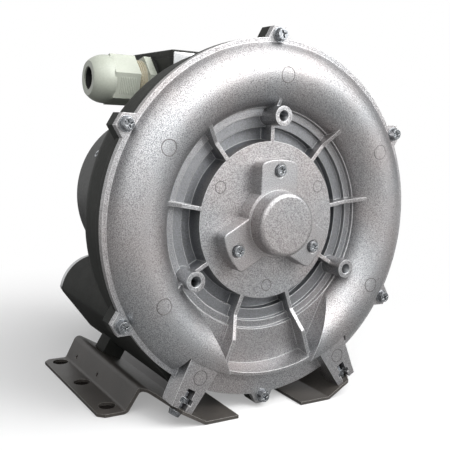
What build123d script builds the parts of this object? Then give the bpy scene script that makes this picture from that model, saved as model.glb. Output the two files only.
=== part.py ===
from build123d import *
import os
from math import atan2, cos, degrees, hypot, radians, sin, sqrt

os.makedirs("parts", exist_ok=True)

# Side channel blower, millimetres, Z up. The shaft runs along Y: the cover side is at -Y
# and the fan side at +Y. The origin is on the floor, at the centre of the six foot holes.

# ---------------------------------------------------------------- driving dimensions
shaft_height = 120.0
split_y = -77.5                 # joint face between the cover and the rear casing
sheet = 2.0                     # bracket sheet

flange_radius = 111.0
flange_thickness = 4.5
ear_beyond_flange = 2.0         # the cover screw circle lies this far outside the flange
ear_tip = 5.0                   # ear beyond the screw circle
ear_tip_half = 4.0
ear_foot_half = 10.5
ear_foot_depth = 5.0            # the ears start this far inside the flange edge
casing_ear_depth = 9.0
ear_count = 6

torus_radius = 90.0             # centre circle of the outer bulge
torus_section = 20.5            # radius of its outer section
torus_behind_split = 4.8        # its centre plane lies this far behind the joint face
channel_radius = 88.5           # centre circle of the flow channel
channel_section = 16.0
rear_wall = 3.0
drum_lap = 0.5                  # the drum's bore cuts this much into the channel
channel_start = -42.0           # the channel runs from here, over the top, to channel_end
channel_end = 222.0

hub_radius = 49.2
hub_before_split = 2.3
recess_depth = 9.0              # floor of the annular recess, behind the joint face
recess_step_radii = (57.5, 64.5)
recess_step_rises = (4.5, 2.5)
recess_back_radius = 67.0       # the inner face of the recess reaches out to here
lip_before_split = 0.5
casting_draft = 1.0

rib_count = 9
rib_first = 10.0
rib_thickness = 2.4
rib_kink_radius = 62.0
rib_top_before_split = 10.0
stripper_ribs = (250.0, 290.0)

boss_circle = 64.8
boss_radius = 6.0
boss_before_split = 13.2
boss_thread_radius = 3.4        # M8 core
boss_thread_depth = 16.0
boss_angles = (90.0, 210.0, 330.0)

rim_radius = 96.5               # outer wall of the stripper pocket
rim_width = 1.8
rim_before_split = 11.5
pocket_draft = 3.0
pocket_inner = 69.4
pocket_half_top = 50.5          # half width of the pocket at its upper height
pocket_half_bottom = 32.0
pocket_top = -48.0              # heights from the shaft
pocket_bottom = -88.0
apron_start = 233.0             # the torus skirt is cut back between these angles
apron_end = 307.0

leg_angles = (240.0, 300.0)
leg_inner = 94.5
leg_floor_gap = 11.3135         # height of the leg tips over the floor
leg_half_inner = 10.9
leg_half_outer = 7.6
leg_before_split = 13.5
leg_tip_wall = 4.0
leg_window = 13.0               # clear length for the screw, from the leg's tip
leg_window_width = 5.8
leg_window_depth = 11.0
leg_screw_depth = 5.5           # bracket screw, behind the front face of the leg
nut_flats = 8.0
nut_thickness = 3.2
nut_slot = 3.5
nut_side_gap = 0.5

screw_radius = 2.5              # M5 cover and bracket screws
screw_play = 0.25
screw_head_radius = 4.1
screw_head_height = 3.2
screw_recess = 2.4
recess_width = 1.1
recess_turn = 20.0
recess_depth_share = 0.6
head_taper = 14.0
thread_play = 0.05
washer_radius = 4.6
washer_thickness = 0.8
screw_grip = 12.0
lobe_screw_radius = 2.0         # M4
lobe_screw_grip = 10.0
lobe_seat_radius = 4.7
lobe_seat_depth = 0.6
lobe_edge = 0.8
lobe_head_radius = 3.9
lobe_head_height = 2.7
lobe_recess = 2.0

bearing_bore = 17.0             # 6203: 17 x 40 x 12
bearing_outer = 40.0
bearing_width = 12.0
bearing_shoulder = 2.0
ball_radius = 3.4
ball_count = 8
race_gap = 0.05                 # running clearance of balls and cage
bearing_fit = 0.04

lobe_reach = 38.8
lobe_half = 13.4
lobe_corner = 4.0
lobe_angles = (90.0, 210.0, 330.0)
lobe_throat = 21.8
lobe_screw_circle = 32.1
bearing_cover_height = 10.2
cap_radius = 20.2
cap_height = 11.0
cap_draft = 4.0
cap_fillet = 3.0
cap_wall = 3.0
spigot_length = 1.0

impeller_gap = 0.35             # side clearance of the blade ring
tip_gap = 0.6
blade_ring_width = 22.0
blade_count = 30
blade_thickness = 1.6
blade_web = 3.0
blade_lip = 2.0
impeller_hub_radius = 19.0
impeller_hub_gap = 0.5
disc_hole_circle = 45.0
disc_hole_count = 4
disc_hole_radius = 5.0
disc_thickness = 4.0
casing_bore_gap = 0.3
seal_radius = 18.0              # bore for the shaft seal
seal_cord = 2.0
seal_side = 0.05
rear_pad_y = 25.0
rear_pad = 15.0
rear_pad_height = 16.0

casing_centre_wall = 8.0        # thickness of the casing wall behind the impeller

duct_x = 56.0                   # silencer ducts, from the shaft line
duct_drop = 72.0
duct_radius = 28.3
duct_flat = 20.6                # distance of the flat from the duct centre
duct_flat_angle = 217.7
duct_corner = 4.0
duct_wall = 3.0
duct_end_y = 65.0
duct_inner_corner = 1.5
duct_start_behind_split = 4.5
port_plate = 6.0
port_inset = 1.0
port_bore = 15.0                # G1 core radius
port_collar = 18.5
port_screw = 2.0
port_screw_circle = 23.5
port_screw_head = 3.5
port_screw_head_height = 2.0
port_boss = 4.0
port_boss_length = 12.0
port_collar_length = 9.0
port_gasket_thickness = 1.0
foam_gap = 0.3
foam_bore = 13.5
window_radius = 11.0

motor_radius = 57.5
motor_bore = 53.0
motor_length = 104.0
fin_count = 36
fin_tip = 61.5
fin_thickness = 1.8
tie_circle = 57.0
tie_angles = (45.0, 135.0, 225.0, 315.0)
tie_boss = 5.5
tie_bolt = 2.5
tie_head = 3.5
tie_grip = 7.0

stator_length = 55.0
stator_bore = 29.0
stator_slots = 24
slot_depth = 13.0
slot_width = 3.6
end_turn_length = 15.0
air_gap = 0.4
rotor_ring = 8.0

shaft_nose_y = -90.0
shaft_thread = 6.0              # radius of the threaded nose
shaft_seat = 10.0               # shaft radius under the impeller
shaft_collar = 13.0             # shaft radius under the rotor
shaft_nut_flats = 19.0
shaft_nut_height = 8.0
key_width = 5.0
key_height = 4.5
key_depth = 2.5
fit_gap = 0.04                  # between pieces that are fixed together
running_gap = 0.08              # between the shaft and its seal
rear_bearing_inset = 6.0
rear_collar = 4.0
race_lip = 2.6
cage_half = 1.1
cage_width = 9.0
end_ring_vanes = 8
end_ring_inset = 1.5
end_ring_width = 8.5
end_vane = 1.8
end_vane_share = 1.6            # vane length over ring length
slot_lip = 1.5
slot_mouth = 1.8
slot_liner = 0.15
end_turn_gap = 0.1
end_turn_flare = 1.5
end_shield_thickness = 10.0
spring_space = 1.5
fan_gap = 4.0
fan_bore = 7.5
fan_hub = 13.0
fan_disc = 2.0
fan_blade = 2.0
fan_radius = 50.0
fan_width = 12.0
fan_blades = 7
cowl_radius = 63.4
cowl_sheet = 1.2
cowl_start_y = 66.0
cowl_end_y = 97.0
cowl_fillet = 5.0
cowl_inner_radius = 62.2
cowl_fit = 0.1
cowl_lug = 10.0
cowl_screw = 1.6
cowl_screw_y = 69.0
cowl_screw_length = 8.0
cowl_screw_head = 3.2
cowl_screw_head_height = 2.0
cowl_screw_angles = (30, 150, 270)
grille_spokes = 6
grille_spoke = 4.0
grille_rings = (46.0, 38.0, 30.0, 22.0, 14.0)
grille_slot = 4.0

box_half = 45.4                 # terminal box
box_front_y = -29.5
box_length = 72.0
box_base = 64.5                 # heights from the shaft
box_top = 104.0
box_wall = 3.0
box_corner = 3.0
lid_thickness = 4.0
gasket = 1.0

box_floor = 3.0
box_seat = 0.1
wire_hole = 9.0
pad_half = 38.0
pad_length = 60.0
pad_foot = 40.0
block_length = 44.0
block_width = 22.0
block_height = 14.0
stud_radius = 2.0
stud_height = 8.0
stud_pitch = 11.0
lid_screw = 2.0
lid_screw_inset = 7.5
lid_seat = 4.3
lid_seat_depth = 2.5
lid_screw_length = 12.0
lid_post = 4.5

gland_height = 84.3             # from the shaft
gland_y = 3.7
gland_across_flats = 29.3
gland_bore = 6.5
gland_dome = 15.6
gland_thread = 12.5             # M25 outer radius
gland_gasket = 1.5
gland_hex = 5.1
gland_neck = 6.4
gland_neck_radius = 13.6
gland_nut_hex = 17.4
gland_dome_length = 12.7
gland_mouth = 11.0
gland_crown = 3.0
gland_tail = 9.0
gland_locknut_height = 4.0
gland_locknut_wall = 2.3
gland_seal_outer = 11.2
gland_seal_lip = 0.8
gland_mouth_inset = 1.0
gland_turn = 14.0

foot_x = 91.0
foot_pitch = 45.0
foot_hole = 5.5
foot_edge = 10.0                # outer edge of the bracket, beyond the foot holes
foot_front_y = -58.0
foot_rear_y = 54.0
foot_inner_share = 0.512        # inner edge of the bracket, as a share of its inner fold
foot_web_inset = 7.5            # web of the bracket, inside the line of foot holes
foot_corner = 4.0
foot_rows = 3
web_hole = 1.4                  # small holes through the web of each bracket
web_hole_height = 6.8
web_hole_places = (-3.5, 37.0)
ridge_rise = 17.5               # fold between web and slope, over the floor
nose_x = 63.0
plate_front_y = -93.0
bend_radius = 3.0

# ---------------------------------------------------------------- stations along the shaft
flange_face_y = split_y - flange_thickness
hub_face_y = split_y - hub_before_split
cover_channel_y = split_y + torus_behind_split
recess_y = split_y + recess_depth
lip_y = split_y - lip_before_split
rim_y = split_y - rim_before_split
rib_top_y = split_y - rib_top_before_split
front_bearing_y = hub_face_y + spigot_length
front_bearing_end_y = front_bearing_y + bearing_width
cover_inner_y = front_bearing_end_y + bearing_shoulder
impeller_front_y = cover_channel_y + impeller_gap
impeller_rear_y = impeller_front_y + blade_ring_width
casing_channel_y = impeller_rear_y + impeller_gap
casing_rear_y = casing_channel_y + casing_centre_wall
motor_end_y = casing_rear_y + motor_length
drum_bore = channel_radius + channel_section - drum_lap
drum_radius = channel_radius + channel_section + rear_wall

ear_circle = flange_radius + ear_beyond_flange
ear_foot_radius = flange_radius - ear_foot_depth
leg_outer = (shaft_height - leg_floor_gap) / sin(radians(60))
ridge_height = ridge_rise - shaft_height

shaft_axis = Axis((0, 0, shaft_height), (0, 1, 0))
turn_axis = Axis((0, 0, shaft_height), (0, -1, 0))


def across(y):
    """Plane across the shaft at y, seen from the cover side: X right, Z up."""
    return Plane(origin=(0, y, shaft_height), x_dir=(1, 0, 0), z_dir=(0, -1, 0))


def along(angle=90.0):
    """Half plane through the shaft line at an angle: first coordinate y, second radius."""
    turn = radians(angle)
    return Plane(
        origin=(0, 0, shaft_height), x_dir=(0, 1, 0), z_dir=(sin(turn), 0, -cos(turn))
    )


def radial(angle, y, radius):
    """Plane square to a radius of the shaft, at y: its normal points outwards."""
    turn = radians(angle)
    return Plane(
        origin=(radius * cos(turn), y, shaft_height + radius * sin(turn)),
        x_dir=(0, 1, 0),
        z_dir=(cos(turn), 0, sin(turn)),
    )


def reach_of(point):
    """Distance of a point from the shaft line."""
    return hypot(point.X, point.Z - shaft_height)


def torus_meets(y, side):
    """Radius at which the outer bulge crosses the plane y, outside (1) or inside (-1)."""
    return torus_radius + side * sqrt(torus_section**2 - (y - cover_channel_y) ** 2)


def wedge(start, end, reach):
    """Corners of a wide wedge from the shaft line between two angles."""
    middle = (start + end) / 2
    return [(0, 0)] + [
        (reach * cos(radians(a)), reach * sin(radians(a))) for a in (start, middle, end)
    ]


# ---------------------------------------------------------------- front cover
pocket_slope = (pocket_half_top - pocket_half_bottom) / (pocket_top - pocket_bottom)
pocket_low = -(rim_radius + rim_width)
pocket_half_low = pocket_half_bottom - pocket_slope * (pocket_bottom - pocket_low)
front_clear_y = cover_channel_y - torus_section - 5.0
pocket_outline = [
    (-pocket_half_top, pocket_top),
    (-pocket_half_low, pocket_low),
    (pocket_half_low, pocket_low),
    (pocket_half_top, pocket_top),
]

with BuildPart() as stripper_pocket:
    # the flat-floored pocket that interrupts the torus at the bottom
    with BuildSketch(along(apron_start - 20)):
        with BuildLine():
            Polyline(
                (lip_y, hub_radius + 10),
                (lip_y, rim_radius - rim_width - pocket_draft),
                (rim_y, rim_radius - rim_width),
                (rim_y, rim_radius + 1),
                (front_clear_y, rim_radius + 1),
                (front_clear_y, hub_radius + 10),
                close=True,
            )
        make_face()
    revolve(axis=turn_axis, revolution_arc=apron_end - apron_start + 40)
    with BuildSketch(across(lip_y + 1)):
        Polygon(*pocket_outline, align=None)
    extrude(amount=lip_y - front_clear_y + 2, mode=Mode.INTERSECT)

with BuildPart() as front_cover:
    # hub, stepped recess, torus and flange in one turn
    with BuildSketch(along()):
        with BuildLine():
            step_one_y = recess_y - recess_step_rises[0]
            step_two_y = step_one_y - recess_step_rises[1]
            foot = torus_meets(flange_face_y, 1)
            lip = torus_meets(lip_y, -1)
            Polyline(
                (cover_inner_y, bearing_outer / 2 - 3),
                (front_bearing_end_y, bearing_outer / 2 - 3),
                (front_bearing_end_y, bearing_outer / 2),
                (hub_face_y, bearing_outer / 2),
                (hub_face_y, hub_radius),
                (recess_y, hub_radius + casting_draft),
                (recess_y, recess_step_radii[0]),
                (step_one_y, recess_step_radii[0] + 0.4),
                (step_one_y, recess_step_radii[1]),
                (step_two_y, recess_step_radii[1] + 0.4),
                (step_two_y, lip - 0.9),
                (lip_y, lip - 0.4),
                (lip_y, lip),
            )
            ThreePointArc(
                (lip_y, lip),
                (cover_channel_y - torus_section, torus_radius),
                (flange_face_y, foot),
            )
            Polyline(
                (flange_face_y, foot),
                (flange_face_y, flange_radius),
                (split_y, flange_radius),
                (split_y, drum_bore - casing_bore_gap),
                (cover_channel_y, drum_bore - casing_bore_gap),
                (cover_channel_y, recess_back_radius + 1),
                (cover_inner_y, recess_back_radius),
                (cover_inner_y, bearing_outer / 2 - 3),
            )
        make_face()
    revolve(axis=shaft_axis)
    # flow channel, stopped at the bottom between inlet and outlet
    with BuildSketch(along(channel_start)):
        with Locations((cover_channel_y, channel_radius)):
            Circle(channel_section)
    revolve(
        axis=turn_axis, revolution_arc=channel_end - channel_start, mode=Mode.SUBTRACT
    )
    # skirt cut back to the flange under the pocket
    with BuildSketch(across(flange_face_y)):
        Circle(foot + 0.5)
        Circle(rim_radius, mode=Mode.SUBTRACT)
        Polygon(*wedge(apron_start, apron_end, 2 * flange_radius), align=None, mode=Mode.INTERSECT)
    extrude(amount=flange_face_y - front_clear_y, mode=Mode.SUBTRACT)
    add(stripper_pocket.part, mode=Mode.SUBTRACT)
    # radial ribs from the hub on to the torus, and on to the rim beside the pocket
    for index in range(rib_count):
        angle = rib_first + index * 360 / rib_count
        crest = torus_meets(rib_top_y, -1) + 0.6
        with BuildSketch(along(angle)):
            with BuildLine():
                inner = [
                    (cover_channel_y - 1.2, lip + 0.4),
                    (cover_channel_y - 1.2, lip - 4),
                    (recess_y + 1.5, recess_step_radii[1] - 3),
                    (recess_y + 1.5, hub_radius - 0.5),
                    (hub_face_y, hub_radius - 0.5),
                    (hub_face_y, rib_kink_radius),
                    (rib_top_y, crest),
                ]
                if angle in stripper_ribs:
                    outer = [(rib_top_y, rim_radius - 0.5), (lip_y + 1, rim_radius - 0.5)]
                else:
                    outer = [(lip_y - 2, lip + 1.6)]
                Polyline(*inner, *outer, close=True)
            make_face()
        extrude(amount=rib_thickness / 2, both=True)
    # three bosses on the recess
    with BuildSketch(across(split_y - boss_before_split)):
        with PolarLocations(boss_circle, len(boss_angles), start_angle=boss_angles[0]):
            Circle(boss_radius)
    extrude(amount=-(boss_before_split + torus_behind_split - 0.1))
    # screw ears around the flange
    with BuildSketch(across(split_y)):
        with PolarLocations(0, ear_count, start_angle=30):
            Polygon(
                (ear_foot_radius, -ear_foot_half),
                (ear_circle + ear_tip, -ear_tip_half),
                (ear_circle + ear_tip, ear_tip_half),
                (ear_foot_radius, ear_foot_half),
                align=None,
            )
        Circle(foot, mode=Mode.SUBTRACT)
    extrude(amount=flange_thickness)
    # two legs for the foot brackets, each with a window for a captive nut
    for angle in leg_angles:
        with BuildSketch(across(split_y - leg_before_split)):
            with PolarLocations(0, 1, start_angle=angle):
                Polygon(
                    (leg_inner, -leg_half_inner),
                    (leg_outer, -leg_half_outer),
                    (leg_outer, leg_half_outer),
                    (leg_inner, leg_half_inner),
                    align=None,
                )
        extrude(amount=-leg_before_split)
        with BuildSketch(across(split_y - leg_before_split)):
            with PolarLocations(leg_outer - leg_tip_wall - nut_slot / 2, 1, start_angle=angle):
                Rectangle(nut_slot, nut_flats + 2 * nut_side_gap)
            with PolarLocations(leg_outer - leg_window / 2, 1, start_angle=angle):
                Rectangle(leg_window, leg_window_width)
        extrude(amount=-leg_window_depth, mode=Mode.SUBTRACT)
    # holes: cover screws, boss threads, bearing cover screws
    with BuildSketch(across(split_y)):
        with PolarLocations(ear_circle, ear_count, start_angle=30):
            Circle(screw_radius + screw_play)
    extrude(amount=flange_thickness, mode=Mode.SUBTRACT)
    with BuildSketch(across(split_y - boss_before_split)):
        with PolarLocations(boss_circle, len(boss_angles), start_angle=boss_angles[0]):
            Circle(boss_thread_radius)
    extrude(amount=-boss_thread_depth, mode=Mode.SUBTRACT)
    with BuildSketch(across(hub_face_y)):
        with PolarLocations(lobe_screw_circle, len(lobe_angles), start_angle=lobe_angles[0]):
            Circle(lobe_screw_radius)
    extrude(amount=-lobe_screw_grip, mode=Mode.SUBTRACT)
front_cover.part.label = "front_cover"
export_step(front_cover.part, "parts/front_cover.step")

# ---------------------------------------------------------------- bearing cover
bearing_cover_y = hub_face_y - bearing_cover_height
cap_face_y = bearing_cover_y - cap_height
with BuildPart() as bearing_cover:
    with BuildSketch(across(hub_face_y)):
        Circle(lobe_reach)
        with BuildSketch(across(hub_face_y), mode=Mode.PRIVATE) as lobes:
            Circle(lobe_throat)
            with PolarLocations(lobe_reach / 2, len(lobe_angles), start_angle=lobe_angles[0]):
                Rectangle(lobe_reach, 2 * lobe_half)
        add(lobes.sketch_local, mode=Mode.INTERSECT)
    extrude(amount=bearing_cover_height)
    corners = bearing_cover.edges().filter_by(Axis.Y)
    outer_corners = [e for e in corners if reach_of(e.center()) > lobe_reach - 3]
    fillet(outer_corners, lobe_corner)
    fillet(bearing_cover.faces().sort_by(Axis.Y)[0].edges(), lobe_edge)
    # domed cap over the shaft end
    with BuildSketch(across(bearing_cover_y + 1)):
        Circle(cap_radius)
    extrude(amount=cap_height + 1, taper=cap_draft)
    fillet(bearing_cover.faces().sort_by(Axis.Y)[0].edges(), cap_fillet)
    with BuildSketch(across(hub_face_y)):
        Circle(cap_radius - cap_wall)
    extrude(amount=bearing_cover_height + cap_height - cap_wall, mode=Mode.SUBTRACT)
    # spigot that holds the bearing's outer race
    with BuildSketch(across(hub_face_y)):
        Circle(bearing_outer / 2 - bearing_fit)
        Circle(cap_radius - cap_wall, mode=Mode.SUBTRACT)
    extrude(amount=-spigot_length)
    # recessed seats and holes for the screws
    with BuildSketch(across(bearing_cover_y)):
        with PolarLocations(lobe_screw_circle, len(lobe_angles), start_angle=lobe_angles[0]):
            Circle(lobe_seat_radius)
    extrude(amount=-lobe_seat_depth, mode=Mode.SUBTRACT)
    with BuildSketch(across(bearing_cover_y)):
        with PolarLocations(lobe_screw_circle, len(lobe_angles), start_angle=lobe_angles[0]):
            Circle(lobe_screw_radius + screw_play)
    extrude(amount=-bearing_cover_height, mode=Mode.SUBTRACT)
bearing_cover.part.label = "bearing_cover"
export_step(bearing_cover.part, "parts/bearing_cover.step")

# ---------------------------------------------------------------- rear casing
rear_torus = channel_section + rear_wall
rear_lip = channel_radius - sqrt(rear_torus**2 - casing_centre_wall**2)
groove_mid = (drum_bore + drum_radius) / 2
duct_places = {-1: duct_flat_angle, 1: 540.0 - duct_flat_angle}
foam_front_y = casing_channel_y + rear_torus + 4.0


def duct_section(side, inset, corner):
    """Round duct section with one flat, drawn around the duct's own centre line."""
    with BuildSketch() as section:
        Circle(duct_radius - inset)
        with PolarLocations(duct_flat - inset - duct_radius, 1, start_angle=duct_places[side]):
            Rectangle(2 * duct_radius, 3 * duct_radius, mode=Mode.INTERSECT)
        fillet(section.vertices(), corner)
    return section.sketch


with BuildPart() as rear_casing:
    # flange, drum and rear torus
    with BuildSketch(along()):
        with BuildLine():
            Polyline(
                (casing_rear_y, rear_lip),
                (casing_rear_y, seal_radius),
                (split_y, seal_radius),
                (split_y, flange_radius),
                (split_y + flange_thickness, flange_radius),
                (split_y + flange_thickness, drum_radius),
                (casing_channel_y, drum_radius),
            )
            ThreePointArc(
                (casing_channel_y, channel_radius + rear_torus),
                (casing_channel_y + rear_torus, channel_radius),
                (casing_rear_y, rear_lip),
            )
        make_face()
    revolve(axis=shaft_axis)
    # silencer ducts running back beside the motor
    for side in (-1, 1):
        with BuildSketch(across(duct_end_y)):
            with Locations((side * duct_x, -duct_drop)):
                add(duct_section(side, 0, duct_corner))
        extrude(amount=duct_end_y - split_y - duct_start_behind_split)
    # ears behind the cover's ears
    with BuildSketch(across(split_y)):
        with PolarLocations(0, ear_count, start_angle=30):
            Polygon(
                (ear_foot_radius, -ear_foot_half),
                (ear_circle + ear_tip, -ear_tip_half),
                (ear_circle + ear_tip, ear_tip_half),
                (ear_foot_radius, ear_foot_half),
                align=None,
            )
    extrude(amount=-casing_ear_depth)
    # pads under the ducts that carry the rear of each bracket
    for angle in leg_angles:
        with BuildSketch(radial(angle, rear_pad_y, leg_outer)):
            Rectangle(rear_pad, rear_pad)
        extrude(amount=-rear_pad_height)
    # wheel chamber
    with BuildSketch(across(split_y)):
        Circle(drum_bore)
    extrude(amount=-(casing_channel_y - split_y), mode=Mode.SUBTRACT)
    with BuildSketch(along(channel_start)):
        with Locations((casing_channel_y, channel_radius)):
            Circle(channel_section)
    revolve(
        axis=turn_axis, revolution_arc=channel_end - channel_start, mode=Mode.SUBTRACT
    )
    # groove for the seal in the joint face
    with BuildSketch(across(split_y)):
        Circle(groove_mid + seal_cord / 2)
        Circle(groove_mid - seal_cord / 2, mode=Mode.SUBTRACT)
    extrude(amount=-seal_cord * 0.8, mode=Mode.SUBTRACT)
    # inside of the ducts, and the windows through which they reach the channel
    for side in (-1, 1):
        with BuildSketch(across(duct_end_y)):
            with Locations((side * duct_x, -duct_drop)):
                add(duct_section(side, duct_wall, duct_inner_corner))
        extrude(amount=duct_end_y - foam_front_y, mode=Mode.SUBTRACT)
        with BuildSketch(across(foam_front_y)):
            with Locations((side * duct_x, -duct_drop)):
                Circle(window_radius)
        extrude(amount=foam_front_y - casing_channel_y, mode=Mode.SUBTRACT)
        with BuildSketch(across(duct_end_y)):
            with Locations((side * duct_x, -duct_drop)):
                with PolarLocations(port_screw_circle, 2, start_angle=duct_places[side] + 90):
                    Circle(port_boss)
        extrude(amount=port_boss_length)
        with BuildSketch(across(duct_end_y)):
            with Locations((side * duct_x, -duct_drop)):
                with PolarLocations(port_screw_circle, 2, start_angle=duct_places[side] + 90):
                    Circle(port_screw)
        extrude(amount=port_boss_length - 1, mode=Mode.SUBTRACT)
    # threaded holes: cover screws, tie bolts, bracket screws
    with BuildSketch(across(casing_rear_y)):
        with PolarLocations(tie_circle, len(tie_angles), start_angle=tie_angles[0]):
            Circle(tie_bolt)
    extrude(amount=tie_grip, mode=Mode.SUBTRACT)
    with BuildSketch(across(split_y)):
        with PolarLocations(ear_circle, ear_count, start_angle=30):
            Circle(screw_radius)
    extrude(amount=-casing_ear_depth, mode=Mode.SUBTRACT)
    for angle in leg_angles:
        with BuildSketch(radial(angle, rear_pad_y, leg_outer)):
            Circle(screw_radius)
        extrude(amount=-screw_grip, mode=Mode.SUBTRACT)
rear_casing.part.label = "rear_casing"
export_step(rear_casing.part, "parts/rear_casing.step")

with BuildPart() as casing_seal:
    with BuildSketch(across(split_y)):
        Circle(groove_mid + seal_cord / 2 - seal_side)
        Circle(groove_mid - seal_cord / 2 + seal_side, mode=Mode.SUBTRACT)
    extrude(amount=-seal_cord * 0.8)
casing_seal.part.label = "casing_seal"
export_step(casing_seal.part, "parts/casing_seal.step")

# ---------------------------------------------------------------- cross-recessed screws


def pan_screws(planes, shank, length, head, height, recess):
    """Pan head screws on the given planes, whose normals point out of each head."""
    with BuildPart() as screws:
        for plane in planes:
            with BuildSketch(plane):
                Circle(head)
            extrude(amount=height, taper=head_taper)
            with BuildSketch(plane):
                Circle(shank)
            extrude(amount=-length)
            with BuildSketch(plane.offset(height)):
                Rectangle(2 * recess, recess_width, rotation=recess_turn)
                Rectangle(recess_width, 2 * recess, rotation=recess_turn)
            extrude(amount=-recess_depth_share * height, mode=Mode.SUBTRACT)
    return screws.part


def seats_on_circle(y, circle, angles):
    """Planes across the shaft at y, at the given angles of a circle."""
    return [
        Plane(
            origin=(circle * cos(radians(a)), y, shaft_height + circle * sin(radians(a))),
            x_dir=(1, 0, 0),
            z_dir=(0, -1, 0),
        )
        for a in angles
    ]


ear_angles = [30 + index * 360 / ear_count for index in range(ear_count)]
with BuildPart() as cover_washers:
    with BuildSketch(across(flange_face_y)):
        with PolarLocations(ear_circle, ear_count, start_angle=30):
            Circle(washer_radius)
            Circle(screw_radius + screw_play, mode=Mode.SUBTRACT)
    extrude(amount=washer_thickness)
cover_washers.part.label = "cover_washers"
export_step(cover_washers.part, "parts/cover_washers.step")

with BuildPart() as cover_screws:
    add(
        pan_screws(
            seats_on_circle(flange_face_y - washer_thickness, ear_circle, ear_angles),
            screw_radius - thread_play,
            washer_thickness + flange_thickness + casing_ear_depth,
            screw_head_radius,
            screw_head_height,
            screw_recess,
        )
    )
cover_screws.part.label = "cover_screws"
export_step(cover_screws.part, "parts/cover_screws.step")

with BuildPart() as bearing_cover_screws:
    add(
        pan_screws(
            seats_on_circle(bearing_cover_y + lobe_seat_depth, lobe_screw_circle, lobe_angles),
            lobe_screw_radius - thread_play,
            bearing_cover_height - lobe_seat_depth + lobe_screw_grip,
            lobe_head_radius,
            lobe_head_height,
            lobe_recess,
        )
    )
bearing_cover_screws.part.label = "bearing_cover_screws"
export_step(bearing_cover_screws.part, "parts/bearing_cover_screws.step")

# ---------------------------------------------------------------- foot brackets
slope_reach = leg_outer + sheet / 2      # middle of the sloping strip, from the shaft
plate_z = -shaft_height + sheet / 2      # middle of the flat parts, from the shaft


def slope_point(height):
    """Point of the sloping strip's middle line at a height from the shaft, left side."""
    lean = radians(leg_angles[0])
    return ((slope_reach - height * sin(lean)) / cos(lean), height)


foot_web_x = foot_x - foot_web_inset
foot_outer = foot_x + foot_edge
leg_screw_y = split_y - leg_before_split + leg_screw_depth
bracket_screw_places = (leg_screw_y, rear_pad_y)
for side, name in ((-1, "left"), (1, "right")):
    with BuildPart() as bracket:
        # sheet bent four times, drawn across the shaft
        with BuildSketch(across(foot_rear_y)):
            with BuildLine() as fold:
                ridge = slope_point(ridge_height)
                valley = slope_point(plate_z)
                foot_inner = -valley[0] * foot_inner_share
                FilletPolyline(
                    (side * foot_outer, plate_z),
                    (side * foot_web_x, plate_z),
                    (-side * ridge[0], ridge[1]),
                    (-side * valley[0], valley[1]),
                    (side * foot_inner, plate_z),
                    radius=bend_radius,
                )
            trace(line_width=sheet)
        extrude(amount=foot_rear_y - plate_front_y)
        # outline in plan
        with BuildSketch(Plane.XY):
            Polygon(
                (side * foot_outer, foot_front_y + foot_corner),
                (side * (foot_outer - foot_corner), foot_front_y),
                (side * foot_web_x, foot_front_y),
                (side * (-ridge[0] + 1), foot_front_y - 3),
                (side * nose_x, plate_front_y),
                (side * foot_inner, plate_front_y),
                (side * foot_inner, foot_rear_y - foot_corner),
                (side * (foot_inner + foot_corner), foot_rear_y),
                (side * (foot_outer - foot_corner), foot_rear_y),
                (side * foot_outer, foot_rear_y - foot_corner),
                align=None,
            )
        extrude(amount=shaft_height, mode=Mode.INTERSECT)
        # foot holes and the holes for the two bracket screws
        with BuildSketch(Plane.XY):
            with Locations((side * foot_x, 0)):
                with GridLocations(1, foot_pitch, 1, foot_rows):
                    Circle(foot_hole)
        extrude(amount=2 * sheet, mode=Mode.SUBTRACT)
        with BuildSketch(Plane.YZ.offset(side * foot_web_x)):
            with Locations(*[(place, web_hole_height) for place in web_hole_places]):
                Circle(web_hole)
        extrude(amount=4 * sheet, both=True, mode=Mode.SUBTRACT)
        for place in bracket_screw_places:
            angle = leg_angles[0] if side < 0 else leg_angles[1]
            with BuildSketch(radial(angle, place, leg_outer + 2 * sheet)):
                Circle(screw_radius + screw_play)
            extrude(amount=-3 * sheet, mode=Mode.SUBTRACT)
    bracket.part.label = f"foot_bracket_{name}"
    export_step(bracket.part, f"parts/foot_bracket_{name}.step")

with BuildPart() as bracket_screws:
    leg_screw_reach = leg_outer + sheet
    add(
        pan_screws(
            [radial(a, y, leg_screw_reach) for a in leg_angles for y in bracket_screw_places],
            screw_radius - thread_play,
            sheet + screw_grip - 1,
            screw_head_radius,
            screw_head_height,
            screw_recess,
        )
    )
bracket_screws.part.label = "bracket_screws"
export_step(bracket_screws.part, "parts/bracket_screws.step")

with BuildPart() as bracket_nuts:
    for angle in leg_angles:
        with BuildSketch(radial(angle, leg_screw_y, leg_outer - leg_tip_wall)):
            RegularPolygon(nut_flats / 2, 6, major_radius=False)
            Circle(screw_radius, mode=Mode.SUBTRACT)
        extrude(amount=-nut_thickness)
bracket_nuts.part.label = "bracket_nuts"
export_step(bracket_nuts.part, "parts/bracket_nuts.step")

# ---------------------------------------------------------------- bearings
ball_circle = (bearing_bore + bearing_outer) / 4
groove = ball_radius + race_gap
rear_bearing_y = motor_end_y - rear_bearing_inset
front_mid_y = front_bearing_y + bearing_width / 2
rear_mid_y = rear_bearing_y + bearing_width / 2


def race(middle, inner, outer):
    """Ring of a ball bearing with its ball groove, centred on the plane y = middle."""
    with BuildPart() as ring:
        with BuildSketch(across(middle + bearing_width / 2)):
            Circle(outer)
            Circle(inner, mode=Mode.SUBTRACT)
        extrude(amount=bearing_width)
        with BuildSketch(along()):
            with Locations((middle, ball_circle)):
                Circle(groove)
        revolve(axis=shaft_axis, mode=Mode.SUBTRACT)
    return ring.part


def balls(middle):
    """The ring of balls around the shaft at y = middle."""
    with BuildPart() as ring:
        with Locations(across(middle)):
            with PolarLocations(ball_circle, ball_count):
                Sphere(ball_radius)
    return ring.part


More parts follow.
